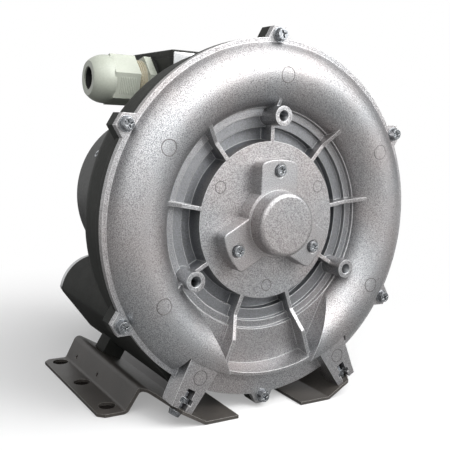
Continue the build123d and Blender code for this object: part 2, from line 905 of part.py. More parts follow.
for end, middle in (("front", front_mid_y), ("rear", rear_mid_y)):
    outer_race = race(middle, ball_circle + race_lip, bearing_outer / 2 - bearing_fit)
    outer_race.label = f"{end}_bearing_outer_race"
    export_step(outer_race, f"parts/{end}_bearing_outer_race.step")
    inner_race = race(middle, bearing_bore / 2 + bearing_fit, ball_circle - race_lip)
    inner_race.label = f"{end}_bearing_inner_race"
    export_step(inner_race, f"parts/{end}_bearing_inner_race.step")
    ball_ring = balls(middle)
    ball_ring.label = f"{end}_bearing_balls"
    export_step(ball_ring, f"parts/{end}_bearing_balls.step")
    with BuildPart() as cage:
        with BuildSketch(across(middle + cage_width / 2)):
            Circle(ball_circle + cage_half)
            Circle(ball_circle - cage_half, mode=Mode.SUBTRACT)
        extrude(amount=cage_width)
        for index in range(ball_count):
            with BuildSketch(radial(index * 360 / ball_count, middle, ball_circle + 2 * cage_half)):
                Circle(groove)
            extrude(amount=-4 * cage_half, mode=Mode.SUBTRACT)
    cage.part.label = f"{end}_bearing_cage"
    export_step(cage.part, f"parts/{end}_bearing_cage.step")

# ---------------------------------------------------------------- rotor
hub_front_y = cover_inner_y + impeller_hub_gap
hub_rear_y = casing_channel_y - impeller_hub_gap
stator_front_y = (casing_rear_y + motor_end_y - stator_length) / 2
stator_rear_y = stator_front_y + stator_length
rear_shoulder_y = rear_bearing_y - rear_collar
fan_front_y = motor_end_y + end_shield_thickness + fan_gap
fan_rear_y = fan_front_y + fan_width
rotor_radius = stator_bore - air_gap
bearing_r = bearing_bore / 2

with BuildPart() as shaft:
    with BuildSketch(along()):
        with BuildLine():
            Polyline(
                (shaft_nose_y, 0),
                (shaft_nose_y, shaft_thread - 1),
                (shaft_nose_y + 1, shaft_thread),
                (front_bearing_y, shaft_thread),
                (front_bearing_y, bearing_r),
                (hub_front_y, bearing_r),
                (hub_front_y, shaft_seat),
                (hub_rear_y, shaft_seat),
                (hub_rear_y, shaft_collar),
                (rear_shoulder_y, shaft_collar),
                (rear_shoulder_y, bearing_r + 2),
                (rear_bearing_y, bearing_r + 2),
                (rear_bearing_y, bearing_r),
                (rear_bearing_y + bearing_width, bearing_r),
                (rear_bearing_y + bearing_width, fan_bore),
                (fan_rear_y + 1, fan_bore),
                (fan_rear_y + 2, fan_bore - 1),
                (fan_rear_y + 2, 0),
                close=True,
            )
        make_face()
    revolve(axis=shaft_axis)
    # keyway under the impeller
    with BuildSketch(Plane.XY.offset(shaft_height + shaft_seat - key_depth)):
        with Locations((0, (hub_front_y + hub_rear_y) / 2)):
            Rectangle(key_width, hub_rear_y - hub_front_y - 2)
    extrude(amount=key_depth + 1, mode=Mode.SUBTRACT)
shaft.part.label = "shaft"
export_step(shaft.part, "parts/shaft.step")

with BuildPart() as impeller_key:
    with BuildSketch(Plane.XY.offset(shaft_height + shaft_seat - key_depth)):
        with Locations((0, (hub_front_y + hub_rear_y) / 2)):
            Rectangle(key_width - 2 * fit_gap, hub_rear_y - hub_front_y - 2 - 2 * fit_gap)
    extrude(amount=key_height)
impeller_key.part.label = "impeller_key"
export_step(impeller_key.part, "parts/impeller_key.step")

with BuildPart() as impeller:
    disc_mid_y = (impeller_front_y + impeller_rear_y) / 2
    ring_inner = channel_radius - channel_section - blade_lip
    wheel_radius = drum_bore - tip_gap
    with BuildSketch(along()):
        with BuildLine():
            Polyline(
                (hub_front_y, shaft_seat + fit_gap),
                (hub_front_y, impeller_hub_radius),
                (disc_mid_y - disc_thickness / 2, impeller_hub_radius + 3),
                (disc_mid_y - disc_thickness / 2, ring_inner - 3),
                (impeller_front_y, ring_inner),
                (impeller_front_y, wheel_radius),
                (impeller_rear_y, wheel_radius),
                (impeller_rear_y, ring_inner),
                (disc_mid_y + disc_thickness / 2, ring_inner - 3),
                (disc_mid_y + disc_thickness / 2, impeller_hub_radius + 3),
                (hub_rear_y, impeller_hub_radius),
                (hub_rear_y, shaft_seat + fit_gap),
                close=True,
            )
        make_face()
    revolve(axis=shaft_axis)
    # half-round cavity on each side of the blade ring
    cavity_inner = ring_inner + blade_lip
    cavity_outer = wheel_radius - blade_lip
    for face_y, bed_y in (
        (impeller_front_y, disc_mid_y - blade_web / 2),
        (impeller_rear_y, disc_mid_y + blade_web / 2),
    ):
        with BuildSketch(along()):
            with BuildLine():
                ThreePointArc(
                    (face_y, cavity_inner),
                    (bed_y, (cavity_inner + cavity_outer) / 2),
                    (face_y, cavity_outer),
                )
                Line((face_y, cavity_outer), (face_y, cavity_inner))
            make_face()
        revolve(axis=shaft_axis, mode=Mode.SUBTRACT)
    # blades
    with BuildSketch(across(impeller_rear_y)):
        with PolarLocations((cavity_inner + cavity_outer) / 2, blade_count):
            Rectangle(cavity_outer - cavity_inner + blade_lip, blade_thickness)
    extrude(amount=blade_ring_width)
    # balance holes in the disc and keyway in the hub
    with BuildSketch(across(disc_mid_y + disc_thickness)):
        with PolarLocations(disc_hole_circle, disc_hole_count):
            Circle(disc_hole_radius)
    extrude(amount=2 * disc_thickness, mode=Mode.SUBTRACT)
    with BuildSketch(Plane.XY.offset(shaft_height + shaft_seat - key_depth)):
        with Locations((0, (hub_front_y + hub_rear_y) / 2)):
            Rectangle(key_width, hub_rear_y - hub_front_y)
    extrude(amount=key_height + fit_gap, mode=Mode.SUBTRACT)
impeller.part.label = "impeller"
export_step(impeller.part, "parts/impeller.step")

with BuildPart() as impeller_spacer:
    with BuildSketch(across(hub_front_y)):
        Circle(ball_circle - race_lip)
        Circle(bearing_r + fit_gap, mode=Mode.SUBTRACT)
    extrude(amount=hub_front_y - front_bearing_end_y)
impeller_spacer.part.label = "impeller_spacer"
export_step(impeller_spacer.part, "parts/impeller_spacer.step")

with BuildPart() as shaft_nut:
    with BuildSketch(across(front_bearing_y)):
        RegularPolygon(shaft_nut_flats / 2, 6, major_radius=False)
        Circle(shaft_thread + fit_gap, mode=Mode.SUBTRACT)
    extrude(amount=shaft_nut_height)
shaft_nut.part.label = "shaft_nut"
export_step(shaft_nut.part, "parts/shaft_nut.step")

with BuildPart() as shaft_seal:
    with BuildSketch(across(casing_rear_y)):
        Circle(seal_radius - fit_gap)
        Circle(shaft_collar + running_gap, mode=Mode.SUBTRACT)
    extrude(amount=casing_rear_y - casing_channel_y - 1)
shaft_seal.part.label = "shaft_seal"
export_step(shaft_seal.part, "parts/shaft_seal.step")

with BuildPart() as rotor_core:
    with BuildSketch(across(stator_rear_y)):
        Circle(rotor_radius)
        Circle(shaft_collar + fit_gap, mode=Mode.SUBTRACT)
    extrude(amount=stator_length)
rotor_core.part.label = "rotor_core"
export_step(rotor_core.part, "parts/rotor_core.step")

with BuildPart() as rotor_end_rings:
    for start_y, reach in ((stator_rear_y, -rotor_ring), (stator_front_y, rotor_ring)):
        with BuildSketch(across(start_y)):
            Circle(rotor_radius - end_ring_inset)
            Circle(rotor_radius - end_ring_inset - end_ring_width, mode=Mode.SUBTRACT)
        extrude(amount=reach)
        with BuildSketch(across(start_y)):
            with PolarLocations(
                rotor_radius - end_ring_inset - end_ring_width / 2, end_ring_vanes
            ):
                Rectangle(end_ring_width - 2 * end_ring_inset, end_vane)
        extrude(amount=end_vane_share * reach)
rotor_end_rings.part.label = "rotor_end_rings"
export_step(rotor_end_rings.part, "parts/rotor_end_rings.step")

with BuildPart() as cooling_fan:
    with BuildSketch(across(fan_rear_y)):
        Circle(fan_hub)
        Circle(fan_bore + fit_gap, mode=Mode.SUBTRACT)
    extrude(amount=fan_width)
    with BuildSketch(across(fan_front_y + fan_disc)):
        Circle(fan_radius)
        Circle(fan_bore + fit_gap, mode=Mode.SUBTRACT)
    extrude(amount=fan_disc)
    with BuildSketch(across(fan_rear_y)):
        with PolarLocations((fan_hub + fan_radius) / 2, fan_blades):
            Rectangle(fan_radius - fan_hub + 1, fan_blade)
    extrude(amount=fan_width - fan_disc)
cooling_fan.part.label = "cooling_fan"
export_step(cooling_fan.part, "parts/cooling_fan.step")

# ---------------------------------------------------------------- stator and motor frame
with BuildPart() as stator_core:
    with BuildSketch(across(stator_rear_y)):
        Circle(motor_bore - fit_gap)
        Circle(stator_bore, mode=Mode.SUBTRACT)
        with PolarLocations(stator_bore + slot_lip + slot_depth / 2, stator_slots):
            Rectangle(slot_depth, slot_width, mode=Mode.SUBTRACT)
        with PolarLocations(stator_bore + slot_lip, stator_slots):
            Rectangle(3 * slot_lip, slot_mouth, mode=Mode.SUBTRACT)
    extrude(amount=stator_length)
stator_core.part.label = "stator_core"
export_step(stator_core.part, "parts/stator_core.step")

with BuildPart() as stator_windings:
    coil_inner = stator_bore + slot_lip + slot_liner
    coil_outer = stator_bore + slot_lip + slot_depth - slot_liner
    with BuildSketch(across(stator_rear_y + end_turn_length)):
        with PolarLocations((coil_inner + coil_outer) / 2, stator_slots):
            Rectangle(coil_outer - coil_inner, slot_width - 2 * slot_liner)
    extrude(amount=stator_length + 2 * end_turn_length)
    for near_y, far_y in (
        (stator_front_y - end_turn_gap, stator_front_y - end_turn_length),
        (stator_rear_y + end_turn_gap, stator_rear_y + end_turn_length),
    ):
        with BuildSketch(along()):
            with BuildLine():
                Polyline(
                    (near_y, coil_inner),
                    (near_y, coil_outer),
                    (far_y, coil_outer + end_turn_flare),
                    (far_y, coil_inner + end_turn_flare),
                    close=True,
                )
            make_face()
        revolve(axis=shaft_axis)
stator_windings.part.label = "stator_windings"
export_step(stator_windings.part, "parts/stator_windings.step")

box_mid_y = box_front_y + box_length / 2
pad_top = box_base - gasket
with BuildPart() as motor_frame:
    with BuildSketch(across(motor_end_y)):
        Circle(motor_radius)
        with PolarLocations((motor_radius + fin_tip) / 2, fin_count):
            Rectangle(fin_tip - motor_radius + 1, fin_thickness)
        with PolarLocations(tie_circle, len(tie_angles), start_angle=tie_angles[0]):
            Circle(tie_boss)
    extrude(amount=motor_length)
    # pad under the terminal box
    with BuildSketch(Plane.XY.offset(shaft_height + pad_top)):
        with Locations((0, box_mid_y)):
            Rectangle(2 * pad_half, pad_length)
    extrude(amount=-(pad_top - pad_foot))
    with BuildSketch(across(motor_end_y)):
        Circle(motor_bore)
    extrude(amount=motor_length, mode=Mode.SUBTRACT)
    with BuildSketch(across(motor_end_y)):
        with PolarLocations(tie_circle, len(tie_angles), start_angle=tie_angles[0]):
            Circle(tie_bolt + screw_play)
    extrude(amount=motor_length, mode=Mode.SUBTRACT)
    with BuildSketch(Plane.XY.offset(shaft_height + pad_top)):
        with Locations((0, box_mid_y)):
            Circle(wire_hole)
    extrude(amount=-pad_top, mode=Mode.SUBTRACT)
motor_frame.part.label = "motor_frame"
export_step(motor_frame.part, "parts/motor_frame.step")

with BuildPart() as rear_end_shield:
    with BuildSketch(along()):
        with BuildLine():
            outer_seat = bearing_outer / 2
            spring_y = rear_bearing_y + bearing_width
            shield_end_y = motor_end_y + end_shield_thickness
            Polyline(
                (rear_bearing_y, outer_seat),
                (rear_bearing_y, outer_seat + 4),
                (motor_end_y - 2, outer_seat + 5),
                (motor_end_y - 2, motor_bore - 6),
                (motor_end_y - 4, motor_bore - 6),
                (motor_end_y - 4, motor_bore - fit_gap),
                (motor_end_y, motor_bore - fit_gap),
                (motor_end_y, motor_radius),
                (shield_end_y - 3, motor_radius),
                (shield_end_y, motor_radius - 3),
                (shield_end_y, bearing_r + 3),
                (spring_y + spring_space, bearing_r + 3),
                (spring_y + spring_space, outer_seat),
                close=True,
            )
        make_face()
    revolve(axis=shaft_axis)
    # tie bolt bosses, and lugs that carry the fan cowl
    with BuildSketch(across(motor_end_y)):
        with PolarLocations(tie_circle, len(tie_angles), start_angle=tie_angles[0]):
            Circle(tie_boss)
        Circle(cowl_inner_radius - cowl_fit, mode=Mode.INTERSECT)
        Circle(motor_bore, mode=Mode.SUBTRACT)
    extrude(amount=-end_shield_thickness)
    with BuildSketch(across(shield_end_y)):
        with PolarLocations(
            motor_radius, len(cowl_screw_angles), start_angle=cowl_screw_angles[0]
        ):
            Rectangle(2 * (cowl_inner_radius - motor_radius), cowl_lug)
        Circle(cowl_inner_radius - cowl_fit, mode=Mode.INTERSECT)
    extrude(amount=end_shield_thickness)
    with BuildSketch(across(motor_end_y)):
        with PolarLocations(tie_circle, len(tie_angles), start_angle=tie_angles[0]):
            Circle(tie_bolt + screw_play)
    extrude(amount=-end_shield_thickness, mode=Mode.SUBTRACT)
    for angle in cowl_screw_angles:
        with BuildSketch(radial(angle, cowl_screw_y, cowl_radius)):
            Circle(cowl_screw)
        extrude(amount=-cowl_screw_length, mode=Mode.SUBTRACT)
rear_end_shield.part.label = "rear_end_shield"
export_step(rear_end_shield.part, "parts/rear_end_shield.step")

with BuildPart() as wave_spring:
    with BuildSketch(across(spring_y + spring_space - fit_gap)):
        Circle(outer_seat - 0.5)
        Circle(outer_seat - 3, mode=Mode.SUBTRACT)
    extrude(amount=spring_space - 2 * fit_gap)
wave_spring.part.label = "wave_spring"
export_step(wave_spring.part, "parts/wave_spring.step")

with BuildPart() as tie_bolts:
    bolt_seat_y = motor_end_y + end_shield_thickness
    for place in seats_on_circle(bolt_seat_y, tie_circle, tie_angles):
        with BuildSketch(place):
            RegularPolygon(nut_flats / 2, 6, major_radius=False)
        extrude(amount=-tie_head)
        with BuildSketch(place):
            Circle(tie_bolt - thread_play)
        extrude(amount=bolt_seat_y - casing_rear_y + tie_grip)
tie_bolts.part.label = "tie_bolts"
export_step(tie_bolts.part, "parts/tie_bolts.step")

with BuildPart() as fan_cowl:
    with BuildSketch(across(cowl_end_y)):
        Circle(cowl_radius)
    extrude(amount=cowl_end_y - cowl_start_y)
    rim = fan_cowl.faces().sort_by(Axis.Y)[-1].edges()
    fillet(rim, cowl_fillet)
    offset(amount=-cowl_sheet, openings=fan_cowl.faces().sort_by(Axis.Y)[0])
    # air intake: rings of slots between spokes
    with BuildSketch(across(cowl_end_y)):
        for ring in grille_rings:
            Circle(ring + grille_slot / 2)
            Circle(ring - grille_slot / 2, mode=Mode.SUBTRACT)
        with PolarLocations(0, grille_spokes):
            Rectangle(2 * cowl_radius, grille_spoke, mode=Mode.SUBTRACT)
    extrude(amount=2 * cowl_sheet, both=True, mode=Mode.SUBTRACT)
    for angle in cowl_screw_angles:
        with BuildSketch(radial(angle, cowl_screw_y, cowl_radius + 1)):
            Circle(cowl_screw + screw_play)
        extrude(amount=-4, mode=Mode.SUBTRACT)
fan_cowl.part.label = "fan_cowl"
export_step(fan_cowl.part, "parts/fan_cowl.step")

with BuildPart() as cowl_screws:
    add(
        pan_screws(
            [radial(angle, cowl_screw_y, cowl_radius) for angle in cowl_screw_angles],
            cowl_screw - thread_play,
            cowl_screw_length - 0.5,
            cowl_screw_head,
            cowl_screw_head_height,
            lobe_recess,
        )
    )
cowl_screws.part.label = "cowl_screws"
export_step(cowl_screws.part, "parts/cowl_screws.step")

# ---------------------------------------------------------------- silencers and ports
for side, name in ((-1, "left"), (1, "right")):
    place = (side * duct_x, -duct_drop)
    with BuildPart() as silencer:
        with BuildSketch(across(duct_end_y)):
            with Locations(place):
                add(duct_section(side, duct_wall + foam_gap, duct_inner_corner))
                Circle(foam_bore, mode=Mode.SUBTRACT)
        extrude(amount=duct_end_y - foam_front_y - fit_gap)
        # room for the port screw bosses
        with BuildSketch(across(duct_end_y)):
            with Locations(place):
                Circle(duct_radius)
        extrude(amount=port_boss_length + 1, mode=Mode.SUBTRACT)
    silencer.part.label = f"silencer_foam_{name}"
    export_step(silencer.part, f"parts/silencer_foam_{name}.step")

    with BuildPart() as port_gasket:
        with BuildSketch(across(duct_end_y + port_gasket_thickness)):
            with Locations(place):
                add(duct_section(side, port_inset, duct_corner))
                Circle(port_bore + port_inset, mode=Mode.SUBTRACT)
                with PolarLocations(port_screw_circle, 2, start_angle=duct_places[side] + 90):
                    Circle(port_screw + screw_play, mode=Mode.SUBTRACT)
        extrude(amount=port_gasket_thickness)
    port_gasket.part.label = f"port_gasket_{name}"
    export_step(port_gasket.part, f"parts/port_gasket_{name}.step")

    with BuildPart() as port:
        with BuildSketch(across(duct_end_y + port_gasket_thickness)):
            with Locations(place):
                add(duct_section(side, port_inset, duct_corner))
        extrude(amount=-port_plate)
        with BuildSketch(across(duct_end_y + port_gasket_thickness + port_plate)):
            with Locations(place):
                Circle(port_collar)
        extrude(amount=-port_collar_length)
        with BuildSketch(across(duct_end_y)):
            with Locations(place):
                Circle(port_bore)
        extrude(amount=-2 * port_collar_length, mode=Mode.SUBTRACT)
        with BuildSketch(across(duct_end_y)):
            with Locations(place):
                with PolarLocations(port_screw_circle, 2, start_angle=duct_places[side] + 90):
                    Circle(port_screw + screw_play)
        extrude(amount=-2 * port_plate, mode=Mode.SUBTRACT)
    port.part.label = f"port_flange_{name}"
    export_step(port.part, f"parts/port_flange_{name}.step")

port_screw_planes = []
for side in (-1, 1):
    for turn in (90, 270):
        lean = radians(duct_places[side] + turn)
        port_screw_planes.append(
            Plane(
                origin=(
                    side * duct_x + port_screw_circle * cos(lean),
                    duct_end_y + port_gasket_thickness + port_plate,
                    shaft_height - duct_drop + port_screw_circle * sin(lean),
                ),
                x_dir=(-1, 0, 0),
                z_dir=(0, 1, 0),
            )
        )
with BuildPart() as port_screws:
    add(
        pan_screws(
            port_screw_planes,
            port_screw - thread_play,
            port_gasket_thickness + port_plate + port_boss_length - 2,
            port_screw_head,
            port_screw_head_height,
            lobe_recess,
        )
    )
port_screws.part.label = "port_screws"
export_step(port_screws.part, "parts/port_screws.step")

# ---------------------------------------------------------------- terminal box
box_base_z = shaft_height + box_base
lid_z = shaft_height + box_top - lid_thickness
gland_z = shaft_height + gland_height
lid_screw_places = [
    (x, y)
    for x in (-box_half + lid_screw_inset, box_half - lid_screw_inset)
    for y in (box_front_y + lid_screw_inset, box_front_y + box_length - lid_screw_inset)
]


def beside(x):
    """Plane square to X, facing outwards to the left, on the gland's centre line."""
    return Plane(origin=(x, gland_y, gland_z), x_dir=(0, -1, 0), z_dir=(-1, 0, 0))


def box_outline(inset):
    """Rounded outline of the terminal box in plan, around its own centre."""
    with BuildSketch() as outline:
        RectangleRounded(
            2 * (box_half - inset), box_length - 2 * inset, box_corner - inset / 2
        )
    return outline.sketch


with BuildPart() as terminal_box_gasket:
    with BuildSketch(Plane.XY.offset(box_base_z - gasket)):
        with Locations((0, box_mid_y)):
            Rectangle(2 * pad_half, pad_length)
            Circle(wire_hole, mode=Mode.SUBTRACT)
    extrude(amount=gasket)
terminal_box_gasket.part.label = "terminal_box_gasket"
export_step(terminal_box_gasket.part, "parts/terminal_box_gasket.step")

with BuildPart() as terminal_box:
    with BuildSketch(Plane.XY.offset(box_base_z)):
        with Locations((0, box_mid_y)):
            add(box_outline(0))
    extrude(amount=lid_z - gasket - box_base_z)
    with BuildSketch(Plane.XY.offset(box_base_z + box_floor)):
        with Locations((0, box_mid_y)):
            add(box_outline(box_wall))
    extrude(amount=lid_z - box_base_z, mode=Mode.SUBTRACT)
    # posts for the lid screws
    with BuildSketch(Plane.XY.offset(box_base_z + box_floor)):
        with Locations(*lid_screw_places):
            Rectangle(2 * lid_post, 2 * lid_post)
    extrude(amount=lid_z - gasket - box_base_z - box_floor)
    with BuildSketch(Plane.XY.offset(lid_z - gasket)):
        with Locations(*lid_screw_places):
            Circle(lid_screw)
    extrude(amount=-lid_screw_length, mode=Mode.SUBTRACT)
    with BuildSketch(Plane.XY.offset(box_base_z)):
        with Locations((0, box_mid_y)):
            Circle(wire_hole)
    extrude(amount=box_floor, mode=Mode.SUBTRACT)
    # hole for the cable gland
    with BuildSketch(beside(-box_half)):
        Circle(gland_thread + fit_gap)
    extrude(amount=-box_wall, mode=Mode.SUBTRACT)
terminal_box.part.label = "terminal_box"
export_step(terminal_box.part, "parts/terminal_box.step")

with BuildPart() as lid_gasket:
    with BuildSketch(Plane.XY.offset(lid_z - gasket)):
        with Locations((0, box_mid_y)):
            add(box_outline(box_seat))
            add(box_outline(box_wall - box_seat), mode=Mode.SUBTRACT)
    extrude(amount=gasket)
lid_gasket.part.label = "lid_gasket"
export_step(lid_gasket.part, "parts/lid_gasket.step")

with BuildPart() as terminal_box_lid:
    with BuildSketch(Plane.XY.offset(lid_z)):
        with Locations((0, box_mid_y)):
            add(box_outline(0))
    extrude(amount=lid_thickness)
    fillet(terminal_box_lid.faces().sort_by(Axis.Z)[-1].edges(), 1.0)
    with BuildSketch(Plane.XY.offset(lid_z)):
        with Locations(*lid_screw_places):
            Circle(lid_screw + screw_play)
    extrude(amount=lid_thickness, mode=Mode.SUBTRACT)
    with BuildSketch(Plane.XY.offset(shaft_height + box_top)):
        with Locations(*lid_screw_places):
            Circle(lid_seat)
    extrude(amount=-lid_seat_depth, mode=Mode.SUBTRACT)
terminal_box_lid.part.label = "terminal_box_lid"
export_step(terminal_box_lid.part, "parts/terminal_box_lid.step")

with BuildPart() as lid_screws:
    add(
        pan_screws(
            [
                Plane(origin=(x, y, shaft_height + box_top - lid_seat_depth))
                for x, y in lid_screw_places
            ],
            lid_screw - thread_play,
            lid_thickness - lid_seat_depth + gasket + lid_screw_length - 1,
            lobe_head_radius,
            lobe_head_height,
            lobe_recess,
        )
    )
lid_screws.part.label = "lid_screws"
export_step(lid_screws.part, "parts/lid_screws.step")

block_y = box_mid_y + box_length / 4
block_z = box_base_z + box_floor
with BuildPart() as terminal_block:
    with BuildSketch(Plane.XY.offset(block_z)):
        with Locations((0, block_y)):
            Rectangle(block_length, block_width)
    extrude(amount=block_height)
    with BuildSketch(Plane.XY.offset(block_z + block_height)):
        with Locations((0, block_y)):
            with GridLocations(stud_pitch, stud_pitch, 3, 2):
                Circle(stud_radius)
    extrude(amount=-block_height / 2, mode=Mode.SUBTRACT)
terminal_block.part.label = "terminal_block"
export_step(terminal_block.part, "parts/terminal_block.step")

with BuildPart() as terminal_studs:
    with BuildSketch(Plane.XY.offset(block_z + block_height / 2)):
        with Locations((0, block_y)):
            with GridLocations(stud_pitch, stud_pitch, 3, 2):
                Circle(stud_radius - fit_gap)
    extrude(amount=block_height / 2 + stud_height)
    with BuildSketch(Plane.XY.offset(block_z + block_height)):
        with Locations((0, block_y)):
            with GridLocations(stud_pitch, stud_pitch, 3, 2):
                RegularPolygon(1.75 * stud_radius, 6, major_radius=False)
    extrude(amount=stud_height / 2)
terminal_studs.part.label = "terminal_studs"
export_step(terminal_studs.part, "parts/terminal_studs.step")

# ---------------------------------------------------------------- cable gland
hex_x = -box_half - gland_gasket
neck_x = hex_x - gland_hex
nut_x = neck_x - gland_neck
dome_x = nut_x - gland_nut_hex
mouth_x = dome_x - gland_dome_length
with BuildPart() as gland_gasket_ring:
    with BuildSketch(beside(-box_half)):
        Circle(gland_neck_radius + 3)
        Circle(gland_thread + fit_gap, mode=Mode.SUBTRACT)
    extrude(amount=gland_gasket)
gland_gasket_ring.part.label = "gland_gasket"
export_step(gland_gasket_ring.part, "parts/gland_gasket.step")

with BuildPart() as gland_body:
    with BuildSketch(beside(hex_x)):
        RegularPolygon(gland_across_flats / 2, 6, major_radius=False, rotation=gland_turn)
    extrude(amount=gland_hex)
    with BuildSketch(beside(neck_x)):
        Circle(gland_neck_radius)
    extrude(amount=gland_neck + gland_nut_hex - gland_crown - 1)
    with BuildSketch(beside(hex_x)):
        Circle(gland_thread)
    extrude(amount=-(gland_gasket + gland_tail))
    with BuildSketch(beside(nut_x - gland_nut_hex)):
        Circle(gland_bore + gland_seal_lip)
    extrude(amount=-2 * box_half, mode=Mode.SUBTRACT)
    with BuildSketch(beside(nut_x)):
        Circle(gland_seal_outer)
    extrude(amount=gland_nut_hex, mode=Mode.SUBTRACT)
gland_body.part.label = "gland_body"
export_step(gland_body.part, "parts/gland_body.step")

with BuildPart() as gland_seal:
    with BuildSketch(beside(nut_x)):
        Circle(gland_seal_outer - fit_gap)
    extrude(amount=gland_nut_hex - gland_crown - fit_gap)
    with BuildSketch(beside(nut_x)):
        Circle(gland_bore + gland_seal_lip)
    extrude(amount=gland_nut_hex + gland_dome_length - gland_mouth_inset)
    with BuildSketch(beside(nut_x)):
        Circle(gland_bore)
    extrude(amount=gland_nut_hex + gland_dome_length, mode=Mode.SUBTRACT)
gland_seal.part.label = "gland_seal"
export_step(gland_seal.part, "parts/gland_seal.step")

with BuildPart() as gland_nut:
    # hexagon grip, then a rounded dome down to the cable mouth
    with BuildSketch(beside(nut_x)):
        RegularPolygon(gland_across_flats / 2, 6, major_radius=False, rotation=gland_turn)
    extrude(amount=gland_nut_hex)
    with BuildSketch(Plane(origin=(0, gland_y, gland_z), x_dir=(1, 0, 0), z_dir=(0, -1, 0))):
        with BuildLine():
            Line((dome_x + 1, 0), (dome_x + 1, gland_dome))
            Line((dome_x + 1, gland_dome), (dome_x - 2, gland_dome))
            TangentArc(
                (dome_x - 2, gland_dome), (mouth_x, gland_mouth), tangent=(-1, 0)
            )
            Line((mouth_x, gland_mouth), (mouth_x, 0))
            Line((mouth_x, 0), (dome_x + 1, 0))
        make_face()
    revolve(axis=Axis((0, gland_y, gland_z), (1, 0, 0)))
    with BuildSketch(beside(nut_x)):
        Circle(gland_neck_radius + fit_gap)
    extrude(amount=gland_nut_hex - gland_crown, mode=Mode.SUBTRACT)
    with BuildSketch(beside(nut_x)):
        Circle(gland_bore + gland_seal_lip + fit_gap)
    extrude(amount=gland_nut_hex + gland_dome_length, mode=Mode.SUBTRACT)
gland_nut.part.label = "gland_nut"
export_step(gland_nut.part, "parts/gland_nut.step")

with BuildPart() as gland_locknut:
    with BuildSketch(beside(-box_half + box_wall)):
        Circle(gland_thread + gland_locknut_wall)
        Circle(gland_thread + fit_gap, mode=Mode.SUBTRACT)
    extrude(amount=-gland_locknut_height)
gland_locknut.part.label = "gland_locknut"
export_step(gland_locknut.part, "parts/gland_locknut.step")
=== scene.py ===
from math import cos, radians, sin

import bpy
import numpy as np
from mathutils import Matrix, Vector


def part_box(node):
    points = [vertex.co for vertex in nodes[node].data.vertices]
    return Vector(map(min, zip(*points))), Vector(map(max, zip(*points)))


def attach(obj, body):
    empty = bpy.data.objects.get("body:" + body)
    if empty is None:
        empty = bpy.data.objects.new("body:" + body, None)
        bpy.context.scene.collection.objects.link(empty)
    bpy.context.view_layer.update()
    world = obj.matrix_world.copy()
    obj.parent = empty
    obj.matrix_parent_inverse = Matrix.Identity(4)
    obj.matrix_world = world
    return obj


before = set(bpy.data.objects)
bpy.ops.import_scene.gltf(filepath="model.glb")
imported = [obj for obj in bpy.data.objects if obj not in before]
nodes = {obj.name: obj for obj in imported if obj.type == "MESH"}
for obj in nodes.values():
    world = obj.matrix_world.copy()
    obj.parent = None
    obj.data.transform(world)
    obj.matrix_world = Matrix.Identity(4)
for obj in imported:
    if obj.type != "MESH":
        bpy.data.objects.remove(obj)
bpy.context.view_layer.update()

# Side channel blower: bare die-cast cover, dark painted casing and motor, sheet steel feet.
# Lengths are metres in the part's own frame. The shaft runs along Y at this height.
SHAFT_Z = 0.120
HUB_FACE_Y, LEG_FACE_Y = -0.0798, -0.0910
MARK_CIRCLE, BOSS_CIRCLE = 0.089, 0.0648
GLAND_Y, GLAND_Z = 0.0037, 0.2043
FOOT_X, FOOT_HALF_WIDTH, FOOT_HALF_LENGTH = 0.091, 0.008, 0.053


# ------------------------------------------------------------------ camera
def aim(place, yaw, pitch, roll):
    """Camera matrix: forward is +Y turned by yaw to the right and dipped by pitch, and the
    picture is turned about that line by roll."""
    yaw, pitch, roll = radians(yaw), radians(pitch), radians(roll)
    ahead = Vector((sin(yaw) * cos(pitch), cos(yaw) * cos(pitch), -sin(pitch)))
    right = Vector((cos(yaw), -sin(yaw), 0))
    up = right.cross(ahead)
    right, up = right * cos(roll) + up * sin(roll), up * cos(roll) - right * sin(roll)
    turn = Matrix((right, up, -ahead)).transposed().to_4x4()
    return Matrix.Translation(place) @ turn


camera_data = bpy.data.cameras.new("camera")
camera_data.sensor_width = 36
camera_data.sensor_fit = "HORIZONTAL"
camera_data.lens = 57.04
camera_data.clip_start = 0.01
camera = bpy.data.objects.new("camera", camera_data)
camera.matrix_world = aim((-0.2525, -0.4428, 0.1780), 31.326, 7.982, 2.404)
bpy.context.scene.collection.objects.link(camera)
bpy.context.scene.camera = camera


# ------------------------------------------------------------------ materials
def hue(code, alpha=1.0):
    """Linear colour of an sRGB hex code: each channel c becomes c/12.92 where it is dark,
    and ((c + 0.055) / 1.055) to the power 2.4 elsewhere."""
    channels = [int(code[i : i + 2], 16) / 255 for i in (1, 3, 5)]
    return [c / 12.92 if c <= 0.04045 else ((c + 0.055) / 1.055) ** 2.4 for c in channels] + [alpha]


def add(tree, kind, inputs=None, **settings):
    """Adds one node with its settings, and sets or links its inputs."""
    made = tree.nodes.new("ShaderNode" + kind)
    for name, value in settings.items():
        setattr(made, name, value)
    for name, value in (inputs or {}).items():
        if isinstance(value, bpy.types.NodeSocket):
            tree.links.new(value, made.inputs[name])
        else:
            made.inputs[name].default_value = value
    return made


def blank(name):
    """An empty node material and its tree."""
    material = bpy.data.materials.new(name)
    material.use_nodes = True
    material.node_tree.nodes.clear()
    return material, material.node_tree


def per_mm(size):
    """Noise scale for grains of a size in millimetres."""
    return 1000.0 / size


def grain(tree, place, size, detail=2.0, rough=0.5):
    """Noise whose grains are size millimetres across."""
    return add(
        tree,
        "TexNoise",
        {"Vector": place, "Scale": per_mm(size), "Detail": detail, "Roughness": rough},
    ).outputs["Fac"]


def spread(tree, value, low, high, to_low=0.0, to_high=1.0, smooth=False):
    """Value carried from low..high to to_low..to_high, clamped."""
    return add(
        tree,
        "MapRange",
        {"Value": value, "From Min": low, "From Max": high, "To Min": to_low, "To Max": to_high},
        interpolation_type="SMOOTHSTEP" if smooth else "LINEAR",
    ).outputs["Result"]


